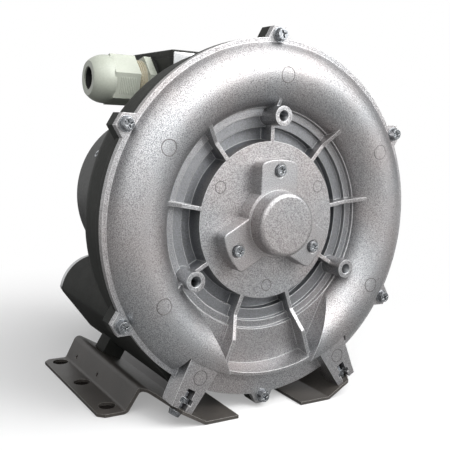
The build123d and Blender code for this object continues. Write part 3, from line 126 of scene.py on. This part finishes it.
def blend(tree, share, first, second):
    """Mix of two colours, sockets or hex codes."""
    first = hue(first) if isinstance(first, str) else first
    second = hue(second) if isinstance(second, str) else second
    return add(
        tree, "Mix", {0: share, 6: first, 7: second}, data_type="RGBA"
    ).outputs[2]


def finish(tree, shader_inputs, height, depth_mm, edge=None, edge_mm=0.5):
    """Principled shader with a bump of depth_mm, joined to the output. Sharp edges are
    shaded as if rounded to edge_mm, and take the colour edge: a painted highlight where
    they catch the light, together with wear from handling and tumbling."""
    round_off = add(tree, "Bevel", {"Radius": edge_mm / 1000}, samples=6).outputs["Normal"]
    if edge:
        flat = add(tree, "NewGeometry").outputs["Normal"]
        bend = add(tree, "VectorMath", {0: round_off, 1: flat}, operation="DOT_PRODUCT")
        # painted highlight along sharp edges, mixed with wear: there the colour turns to edge
        wear_and_highlight = spread(tree, bend.outputs["Value"], 0.98, 0.84)
        shader_inputs["Base Color"] = blend(tree, wear_and_highlight, shader_inputs["Base Color"], edge)
        if shader_inputs["Metallic"]:
            # burnished edges scatter light every way
            shader_inputs["Metallic"] = spread(tree, wear_and_highlight, 0, 1, 1.0, 0.35)
    bump = add(
        tree,
        "Bump",
        {"Height": height, "Strength": 1.0, "Distance": depth_mm / 1000, "Normal": round_off},
    ).outputs["Normal"]
    shader = add(tree, "BsdfPrincipled", {**shader_inputs, "Normal": bump})
    add(tree, "OutputMaterial", {"Surface": shader.outputs["BSDF"]})


def blasted_aluminium():
    """Die-cast aluminium alloy, bare and shot-blasted: a grey metal with a fine bright
    sparkle and faint warm and cool clouds, painted a darker grey as shade low in the
    recess and the pocket."""
    material, tree = blank("blasted_aluminium")
    place = add(tree, "TexCoord").outputs["Object"]
    sparkle = grain(tree, place, 0.45, 0.0)          # shot dents 0.4 mm wide
    fine = grain(tree, place, 0.8, 2.0, 0.6)
    cloud = grain(tree, place, 45, 2.0)
    split = add(tree, "SeparateXYZ", {"Vector": place})
    # painted shade: the colour darkens as Y goes from -80 mm to -71 mm, deep in the recess and the
    # pocket
    depth = spread(tree, split.outputs["Y"], -0.080, -0.071, 0.0, 1.0, True)
    grit = blend(tree, spread(tree, sparkle, 0.36, 0.64), "#716f6f", "#dddcdc")
    tone = blend(tree, spread(tree, cloud, 0.35, 0.65), "#aea6a5", "#a5a9ad")
    base = blend(tree, 0.55, tone, grit)
    recess_shade = blend(tree, spread(tree, fine, 0.3, 0.7), "#7a7b7c", "#94969a")
    colour = blend(tree, depth, base, recess_shade)
    rough = spread(tree, sparkle, 0.3, 0.7, 0.58, 0.40)
    finish(
        tree,
        {"Base Color": colour, "Metallic": 1.0, "Roughness": rough},
        add(tree, "Math", {0: sparkle, 1: fine}, operation="ADD").outputs[0],
        0.07,
        "#e9e9e8",
        0.6,
    )
    return material


def grainy(name, dark, light, size, metal, gloss, depth_mm, cloud_mm=25.0, edge=None, shine=0.5):
    """A finish that varies between two tones: grains of size millimetres over clouds of
    cloud_mm, with gloss = (smoothest, roughest) following the grains, edges lightened to
    the colour edge as a painted highlight together with wear, and a specular level of shine."""
    material, tree = blank(name)
    place = add(tree, "TexCoord").outputs["Object"]
    grains = grain(tree, place, size, 3.0, 0.6)
    clouds = grain(tree, place, cloud_mm, 2.0)
    share = add(tree, "Math", {0: grains, 1: clouds}, operation="ADD").outputs[0]
    colour = blend(tree, spread(tree, share, 0.7, 1.3), dark, light)
    rough = spread(tree, grains, 0.3, 0.7, *gloss)
    finish(
        tree,
        {
            "Base Color": colour,
            "Metallic": metal,
            "Roughness": rough,
            "Specular IOR Level": shine,
        },
        grains,
        depth_mm,
        edge,
        0.4,
    )
    return material


def turned_steel(name, dark, light, ring_mm, gloss):
    """Steel with the fine rings a lathe or a press leaves, along the shaft."""
    material, tree = blank(name)
    place = add(tree, "TexCoord").outputs["Object"]
    rings = add(
        tree,
        "TexWave",
        {"Vector": place, "Scale": 314.0 / ring_mm / 10, "Distortion": 1.5, "Detail": 2.0},
        wave_type="RINGS",
        rings_direction="Y",
    ).outputs["Fac"]
    colour = blend(tree, rings, dark, light)
    finish(
        tree,
        {"Base Color": colour, "Metallic": 1.0, "Roughness": spread(tree, rings, 0, 1, *gloss)},
        rings,
        0.01,
    )
    return material


def stacked_sheet():
    """Electrical steel sheets 0.5 mm thick, stacked along the shaft: dull, with a dark line
    at each joint. The lines are drawn 1 mm apart so that they show."""
    material, tree = blank("stacked_sheet")
    place = add(tree, "TexCoord").outputs["Object"]
    lines = add(
        tree,
        "TexWave",
        {"Vector": place, "Scale": per_mm(1.0) / 20, "Distortion": 0.0},
        wave_type="BANDS",
        bands_direction="Y",
    ).outputs["Fac"]
    colour = blend(tree, lines, "#4b4d50", "#8a8c8f")
    finish(tree, {"Base Color": colour, "Metallic": 1.0, "Roughness": 0.5}, lines, 0.05)
    return material


def wound_copper():
    """Enamelled copper wire 0.7 mm thick, laid side by side round the end turns: a glossy
    amber varnish over red metal."""
    material, tree = blank("wound_copper")
    place = add(tree, "TexCoord").outputs["Object"]
    wires = add(
        tree,
        "TexWave",
        {"Vector": place, "Scale": per_mm(0.7) / 20, "Distortion": 3.0, "Detail": 1.0},
        wave_type="RINGS",
        rings_direction="Y",
    ).outputs["Fac"]
    colour = blend(tree, wires, "#5a2410", "#b9692f")
    finish(
        tree,
        {"Base Color": colour, "Metallic": 0.6, "Roughness": 0.3, "Coat Weight": 0.5},
        wires,
        0.2,
    )
    return material


def open_foam():
    """Polyurethane silencer foam, open cells about 1.5 mm wide: soft, dark and pitted."""
    material, tree = blank("open_foam")
    place = add(tree, "TexCoord").outputs["Object"]
    cells = add(
        tree, "TexVoronoi", {"Vector": place, "Scale": per_mm(1.5)}, feature="F1"
    ).outputs["Distance"]
    colour = blend(tree, spread(tree, cells, 0.1, 0.6), "#1a1a1b", "#4a4a4c")
    finish(tree, {"Base Color": colour, "Roughness": 0.95}, cells, 0.6)
    return material


aluminium = blasted_aluminium()
# acrylic paint on sand-cast aluminium: dark grey, satin, orange peel about 2 mm across
casing_paint = grainy(
    "casing_paint", "#272826", "#373835", 2.2, 0.0, (0.60, 0.75), 0.10,
    edge="#4b4c4a", shine=0.25,
)
# powder coat on sheet steel: warm dark grey, finely pimpled
bracket_paint = grainy(
    "bracket_coat", "#403d3a", "#534f4b", 1.6, 0.0, (0.38, 0.5), 0.06, edge="#a39f9a"
)
cowl_coat = grainy("cowl_coat", "#222321", "#30312f", 1.6, 0.0, (0.40, 0.52), 0.06)
# bright zinc plate on steel: clear, slightly blue, soft where the head was pressed
zinc = grainy("zinc_plate", "#6f7276", "#b4b7ba", 1.2, 1.0, (0.16, 0.32), 0.03, 6.0, "#dcdedf")
# machined aluminium casting: brighter and smoother than the blasted cover
machined = grainy("machined_aluminium", "#a0a1a2", "#c4c5c6", 0.8, 1.0, (0.28, 0.42), 0.02)
# polyamide 6, injection moulded: light grey-green, satin, faint moulding texture
nylon = grainy("gland_nylon", "#aeb3a6", "#bdc1b5", 1.0, 0.0, (0.34, 0.44), 0.02, edge="#d5d8cf")
black_nylon = grainy("black_nylon", "#161717", "#222323", 1.0, 0.0, (0.38, 0.5), 0.02)
cage_nylon = grainy("cage_nylon", "#2c3a2f", "#3b4a3d", 1.0, 0.0, (0.38, 0.5), 0.02)
# nitrile rubber: near black, dull, with a bloom of lighter patches
rubber = grainy("nitrile_rubber", "#121212", "#262625", 1.2, 0.0, (0.6, 0.8), 0.04, 10.0)
# pressed fibre sheet: grey-brown, matt, with short fibres
fibre = grainy("pressed_fibre", "#4b463a", "#665f4f", 0.8, 0.0, (0.8, 0.9), 0.05, 8.0)
phenolic = grainy("phenolic_moulding", "#1d1815", "#2e2723", 0.9, 0.0, (0.3, 0.45), 0.02)
brass = grainy("turned_brass", "#9b7a32", "#c9a653", 0.9, 1.0, (0.25, 0.4), 0.02)
shaft_steel = turned_steel("turned_shaft_steel", "#77797c", "#a9abad", 0.6, (0.25, 0.38))
bearing_steel = turned_steel("ground_bearing_steel", "#9fa1a4", "#c9cbcd", 0.4, (0.12, 0.22))

finishes = {
    aluminium: ["front_cover", "bearing_cover"],
    casing_paint: [
        "rear_casing", "motor_frame", "rear_end_shield", "terminal_box", "terminal_box_lid",
    ],
    cowl_coat: ["fan_cowl"],
    bracket_paint: ["foot_bracket_left", "foot_bracket_right"],
    zinc: [
        "cover_screws", "cover_washers", "bearing_cover_screws", "bracket_screws",
        "bracket_nuts", "lid_screws", "port_screws", "cowl_screws", "tie_bolts",
    ],
    nylon: ["gland_body", "gland_nut", "gland_locknut"],
    rubber: [
        "gland_gasket", "gland_seal", "casing_seal", "shaft_seal", "terminal_box_gasket",
        "lid_gasket",
    ],
    fibre: ["port_gasket_left", "port_gasket_right"],
    open_foam(): ["silencer_foam_left", "silencer_foam_right"],
    machined: ["port_flange_left", "port_flange_right", "impeller", "rotor_end_rings"],
    bearing_steel: [
        "front_bearing_outer_race", "front_bearing_inner_race", "front_bearing_balls",
        "rear_bearing_outer_race", "rear_bearing_inner_race", "rear_bearing_balls",
        "wave_spring",
    ],
    cage_nylon: ["front_bearing_cage", "rear_bearing_cage"],
    shaft_steel: ["shaft", "impeller_key", "impeller_spacer", "shaft_nut"],
    stacked_sheet(): ["stator_core", "rotor_core"],
    wound_copper(): ["stator_windings"],
    black_nylon: ["cooling_fan"],
    phenolic: ["terminal_block"],
    brass: ["terminal_studs"],
}
for material, names in finishes.items():
    for name in names:
        mesh = nodes[name].data
        mesh.materials.clear()
        mesh.materials.append(material)


# ------------------------------------------------------------------ small pieces
def surface(name, points, material, body="housing", closed_u=False, ends=(None, None)):
    """Mesh of a grid of points, shape (rows, columns, 3). closed_u joins the last column to
    the first; ends may give a point that closes the first or the last row as a fan."""
    rows, columns = points.shape[:2]
    index = np.arange(rows * columns).reshape(rows, columns)
    near, far = index[:-1], index[1:]
    if closed_u:
        left_near, right_near = near, np.roll(near, -1, 1)
        left_far, right_far = far, np.roll(far, -1, 1)
    else:
        left_near, right_near = near[:, :-1], near[:, 1:]
        left_far, right_far = far[:, :-1], far[:, 1:]
    faces = np.stack([left_near, right_near, right_far, left_far], -1).reshape(-1, 4).tolist()
    corners = points.reshape(-1, 3).tolist()
    for end, row in zip(ends, (index[0], index[-1])):
        if end is not None:
            corners.append(list(end))
            tip = len(corners) - 1
            ring = np.stack([row, np.roll(row, -1)], 1)
            if row is index[0] or row[0] == index[0, 0]:
                faces += [[tip, b, a] for a, b in ring.tolist()]
            else:
                faces += [[tip, a, b] for a, b in ring.tolist()]
    mesh = bpy.data.meshes.new(name)
    mesh.from_pydata(corners, [], faces)
    mesh.polygons.foreach_set("use_smooth", np.ones(len(mesh.polygons), bool))
    mesh.materials.append(material)
    piece = bpy.data.objects.new(name, mesh)
    bpy.context.scene.collection.objects.link(piece)
    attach(piece, body)
    return piece


def torus_height(reach):
    """Y of the cover's bulge at a distance from the shaft: the front of a circle of
    20.5 mm about (90 mm, -72.7 mm)."""
    return -0.0727 - np.sqrt(0.0205**2 - (reach - 0.090) ** 2)


# raised rim of an ejector pin's mark, a little darker than the casting: painted shade for the thin
# shadow line round the mark
pin_ring_shade = grainy("ejector_pin_flash", "#6a6767", "#8a8887", 0.6, 1.0, (0.5, 0.6), 0.02)


def ejector_mark(name, x, z, radius, height):
    """Round mark of an ejector pin: a ring that stands off the surface by a low hump,
    0.12 mm high and 0.7 mm wide, at a radius round (x, z). height gives the surface's y."""
    turn = np.linspace(0, 2 * np.pi, 48, endpoint=False)
    offset = np.linspace(-1, 1, 7)[:, None]
    reach = radius + 0.00035 * offset
    px = x + reach * np.cos(turn)
    pz = z + reach * np.sin(turn)
    lift = 0.00012 * (1 - offset**2) - 0.00003
    py = height(np.hypot(px, pz)) - lift
    points = np.stack([px, py, pz + SHAFT_Z], -1)
    return surface(name, points, pin_ring_shade, closed_u=True)


for number, angle in enumerate((30, 90, 150, 210, 330)):
    ejector_mark(
        f"ejector_mark_{number + 1}",
        MARK_CIRCLE * cos(radians(angle)),
        MARK_CIRCLE * sin(radians(angle)),
        0.0046,
        torus_height,
    )
for number, (x, z) in enumerate(((-0.0357, 0.0213), (0.0374, 0.0211), (0.0009, -0.0411))):
    ejector_mark(f"hub_mark_{number + 1}", x, z, 0.0036, lambda reach: HUB_FACE_Y + 0 * reach)
for number, (x, z) in enumerate(((-0.0509, -0.0908), (0.0533, -0.0911))):
    ejector_mark(f"leg_mark_{number + 1}", x, z, 0.0044, lambda reach: LEG_FACE_Y + 0 * reach)


# ------------------------------------------------------------------ cable gland and bosses
def thread(start, end, radius, pitch, depth):
    """Thread round a line: (along, across, up) of a tube from start to end whose radius
    changes by depth along a helix, as half a cosine of (along / pitch - turn), and runs out
    0.1 mm past the wall that carries it at both ends."""
    turn = np.linspace(0, 2 * np.pi, 72, endpoint=False)[None, :]
    along = np.linspace(start, end, 12 * round(abs(end - start) / pitch) + 1)[:, None]
    wave = 0.5 + 0.5 * np.cos(2 * np.pi * along / pitch - turn)
    ends = np.minimum(abs(along - start), abs(end - along))
    fade = np.clip(ends / (0.3 * pitch), 0, 1)
    sunk = np.sign(depth) * 0.0001
    reach = radius - sunk + (sunk + depth * wave) * fade
    return along + 0 * turn, reach * np.cos(turn), reach * np.sin(turn)


def grip_ridges(start, end, tilt, distance, half, count, depth):
    """Fine ribs across the gland nut's front flat: a sheet over the flat, which lies at a
    distance from the gland's line and faces -Y turned by tilt, raised by the square of a
    sine along X, and sunk below the flat on all four sides."""
    u = np.linspace(0, 1, 16 * count + 1)[:, None]
    v = np.linspace(-1, 1, 25)[None, :]
    inside = np.clip((1 - np.abs(v)) * 8, 0, 1) * np.clip(np.minimum(u, 1 - u) * 40, 0, 1)
    lift = distance - 0.0001 + (0.0001 + depth * np.sin(np.pi * count * u) ** 2) * inside
    x = start + (end - start) * u + 0 * v
    y = GLAND_Y - lift * cos(tilt) + half * v * sin(tilt)
    z = GLAND_Z + lift * sin(tilt) + half * v * cos(tilt)
    return surface("grip_ridges", np.stack([x, y, z], -1), nylon)


# nylon of the threaded neck: beige, where the nut is grey-green
aged_nylon = grainy("yellowed_nylon", "#8d8670", "#a9a28c", 1.0, 0.0, (0.4, 0.5), 0.02)
along, across, up = thread(-0.0583, -0.0521, 0.0136, 0.0015, 0.0004)
points = np.stack([along, GLAND_Y - across, GLAND_Z + up], -1)
surface("neck_thread", points, aged_nylon, closed_u=True)
grip_ridges(-0.0720, -0.0612, radians(-16), 0.01465, 0.0060, 9, 0.00022)


# M8 threads in the cover's three bosses, cut bright
along, across, up = thread(-0.0906, -0.0780, 0.0034, 0.00125, -0.00045)
for number, angle in enumerate((90, 210, 330)):
    x, z = BOSS_CIRCLE * cos(radians(angle)), BOSS_CIRCLE * sin(radians(angle))
    points = np.stack([x + across, along, SHAFT_Z + z + up], -1)[:, ::-1]
    surface(f"boss_thread_{number + 1}", points, shaft_steel, closed_u=True)


# ------------------------------------------------------------------ rating plate
def plate(name, low, high, thickness, corner, material):
    """Thin plate on a wall that faces -Y: a rounded rectangle in X and Z from low to high,
    each corner a quarter turn of radius corner, drawn as rings that step in by the chamfer
    from the wall to the front."""
    turn = np.linspace(0, 2 * np.pi, 64, endpoint=False) + np.pi / 64
    middle = (np.array(low) + high) / 2
    half = (np.array(high) - low) / 2
    rings = []
    for inset, lift in ((0, 0), (0, 0.7), (0.0002, 1.0)):
        x = middle[0] + np.sign(np.cos(turn)) * (half[0] - corner) + (corner - inset) * np.cos(turn)
        z = middle[2] + np.sign(np.sin(turn)) * (half[2] - corner) + (corner - inset) * np.sin(turn)
        rings.append(np.stack([x, low[1] - lift * thickness + 0 * x, z], 1))
    front = (middle[0], low[1] - thickness, middle[2])
    return surface(name, np.array(rings), material, closed_u=True, ends=(None, front))


# stainless steel rating plate, brushed along its length and left bare
bare_plate = grainy("bare_steel_plate", "#bfc1c2", "#e3e4e4", 0.7, 0.4, (0.35, 0.5), 0.01, 8.0)
box_low, box_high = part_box("terminal_box")
plate(
    "rating_plate",
    (box_low.x + 0.0012, box_low.y, box_high.z - 0.0085),
    (box_high.x - 0.0012, box_low.y, box_high.z + 0.0036),
    0.0006,
    0.0008,
    bare_plate,
)


# ------------------------------------------------------------------ studio
floor_material, tree = blank("studio_floor")
seen = add(tree, "LightPath")
sheet = blend(tree, seen.outputs["Is Camera Ray"], "#8a8a8a", "#f4f4f4")
# painted shadow: the paper is darkened under each foot, so that the foot holes read dark from above
spot = add(tree, "SeparateXYZ", {"Vector": add(tree, "TexCoord").outputs["Object"]}).outputs
out = add(tree, "Math", {0: spot["X"]}, operation="ABSOLUTE").outputs[0]
out = add(tree, "Math", {0: out, 1: FOOT_X}, operation="SUBTRACT").outputs[0]
out = add(tree, "Math", {0: out}, operation="ABSOLUTE").outputs[0]
fade = 0.0005
foot_shadow = spread(tree, out, FOOT_HALF_WIDTH + fade, FOOT_HALF_WIDTH - fade)
back = add(tree, "Math", {0: spot["Y"]}, operation="ABSOLUTE").outputs[0]
fade = 0.001
back = spread(tree, back, FOOT_HALF_LENGTH + fade, FOOT_HALF_LENGTH - fade)
foot_shadow = add(tree, "Math", {0: foot_shadow, 1: back}, operation="MULTIPLY").outputs[0]
# painted shadow: the paper turns near black under the feet
sheet = blend(tree, foot_shadow, sheet, "#2a2725")
paper = add(tree, "BsdfDiffuse", {"Color": sheet}).outputs[0]
white = add(tree, "Emission", {"Color": hue("#ffffff"), "Strength": 1.0}).outputs[0]
# bare paper near the part, lit to plain white farther off
reach = add(
    tree, "VectorMath", {0: add(tree, "TexCoord").outputs["Object"]}, operation="LENGTH"
).outputs["Value"]
plain = add(
    tree,
    "Math",
    {0: seen.outputs["Is Camera Ray"], 1: spread(tree, reach, 0.10, 0.40, 0.3, 1.0, True)},
    operation="MULTIPLY",
).outputs[0]
# metal mirrors dim paper close by, and white only far off, which keeps its underside dark
mirrored = add(
    tree,
    "Math",
    {0: seen.outputs["Is Glossy Ray"], 1: spread(tree, reach, 0.3, 1.5, 0.05, 1.0)},
    operation="MULTIPLY",
).outputs[0]
share = add(tree, "Math", {0: plain, 1: mirrored}, operation="MAXIMUM").outputs[0]
# no plain white under the feet, so the painted shadow stays
share = add(tree, "Math", {0: share, 1: foot_shadow}, operation="SUBTRACT", use_clamp=True).outputs[0]
mixed = add(tree, "MixShader", {0: share, 1: paper, 2: white}).outputs[0]
add(tree, "OutputMaterial", {"Surface": mixed})

mesh = bpy.data.meshes.new("floor")
mesh.from_pydata([(-6, -6, 0), (6, -6, 0), (6, 6, 0), (-6, 6, 0)], [], [(0, 1, 2, 3)])
mesh.materials.append(floor_material)
floor = bpy.data.objects.new("floor", mesh)
floor.location.z = -0.0002
bpy.context.scene.collection.objects.link(floor)

world = bpy.data.worlds.new("studio")
world.use_nodes = True
bpy.context.scene.world = world
tree = world.node_tree
tree.nodes.clear()
seen = add(tree, "LightPath")
toward = add(tree, "SeparateXYZ", {"Vector": add(tree, "TexCoord").outputs["Generated"]})
# pale backdrop behind the part, a dimmer room behind the camera
backdrop = spread(tree, toward.outputs["Y"], 0.2, 0.8, 0.0, 1.0, True)
room = blend(tree, backdrop, "#4a4c50", "#ffffff")
soft = add(tree, "Background", {"Color": room, "Strength": 0.5}).outputs[0]
plain = add(tree, "Background", {"Color": room, "Strength": 1.0}).outputs[0]
straight = add(
    tree, "Math", {0: seen.outputs["Is Camera Ray"], 1: seen.outputs["Is Glossy Ray"]},
    operation="MAXIMUM",
).outputs[0]
straight = add(
    tree, "Math", {0: straight, 1: seen.outputs["Is Transmission Ray"]}, operation="MAXIMUM"
).outputs[0]
sky = add(tree, "MixShader", {0: straight, 1: soft, 2: plain}).outputs[0]
clear = add(tree, "Background", {"Color": hue("#ffffff"), "Strength": 1.0}).outputs[0]
sky = add(tree, "MixShader", {0: seen.outputs["Is Camera Ray"], 1: sky, 2: clear}).outputs[0]
add(tree, "OutputWorld", {"Surface": sky})


def soft_box(name, place, size, watts):
    """Square lamp at place, facing the middle of the part."""
    data = bpy.data.lights.new(name, "AREA")
    data.shape = "SQUARE"
    data.size = size
    data.energy = watts
    lamp = bpy.data.objects.new(name, data)
    line = Vector((0, -0.02, SHAFT_Z)) - Vector(place)
    turn = line.to_track_quat("-Z", "Y").to_matrix().to_4x4()
    lamp.matrix_world = Matrix.Translation(place) @ turn
    bpy.context.scene.collection.objects.link(lamp)


soft_box("key_lamp", (-0.40, -0.68, 0.70), 1.0, 7)
soft_box("fill_lamp", (0.50, -0.85, 0.75), 0.9, 14)
soft_box("top_lamp", (0.25, -0.30, 0.85), 0.7, 3.5)

view = bpy.context.scene.view_settings
view.view_transform = "Standard"
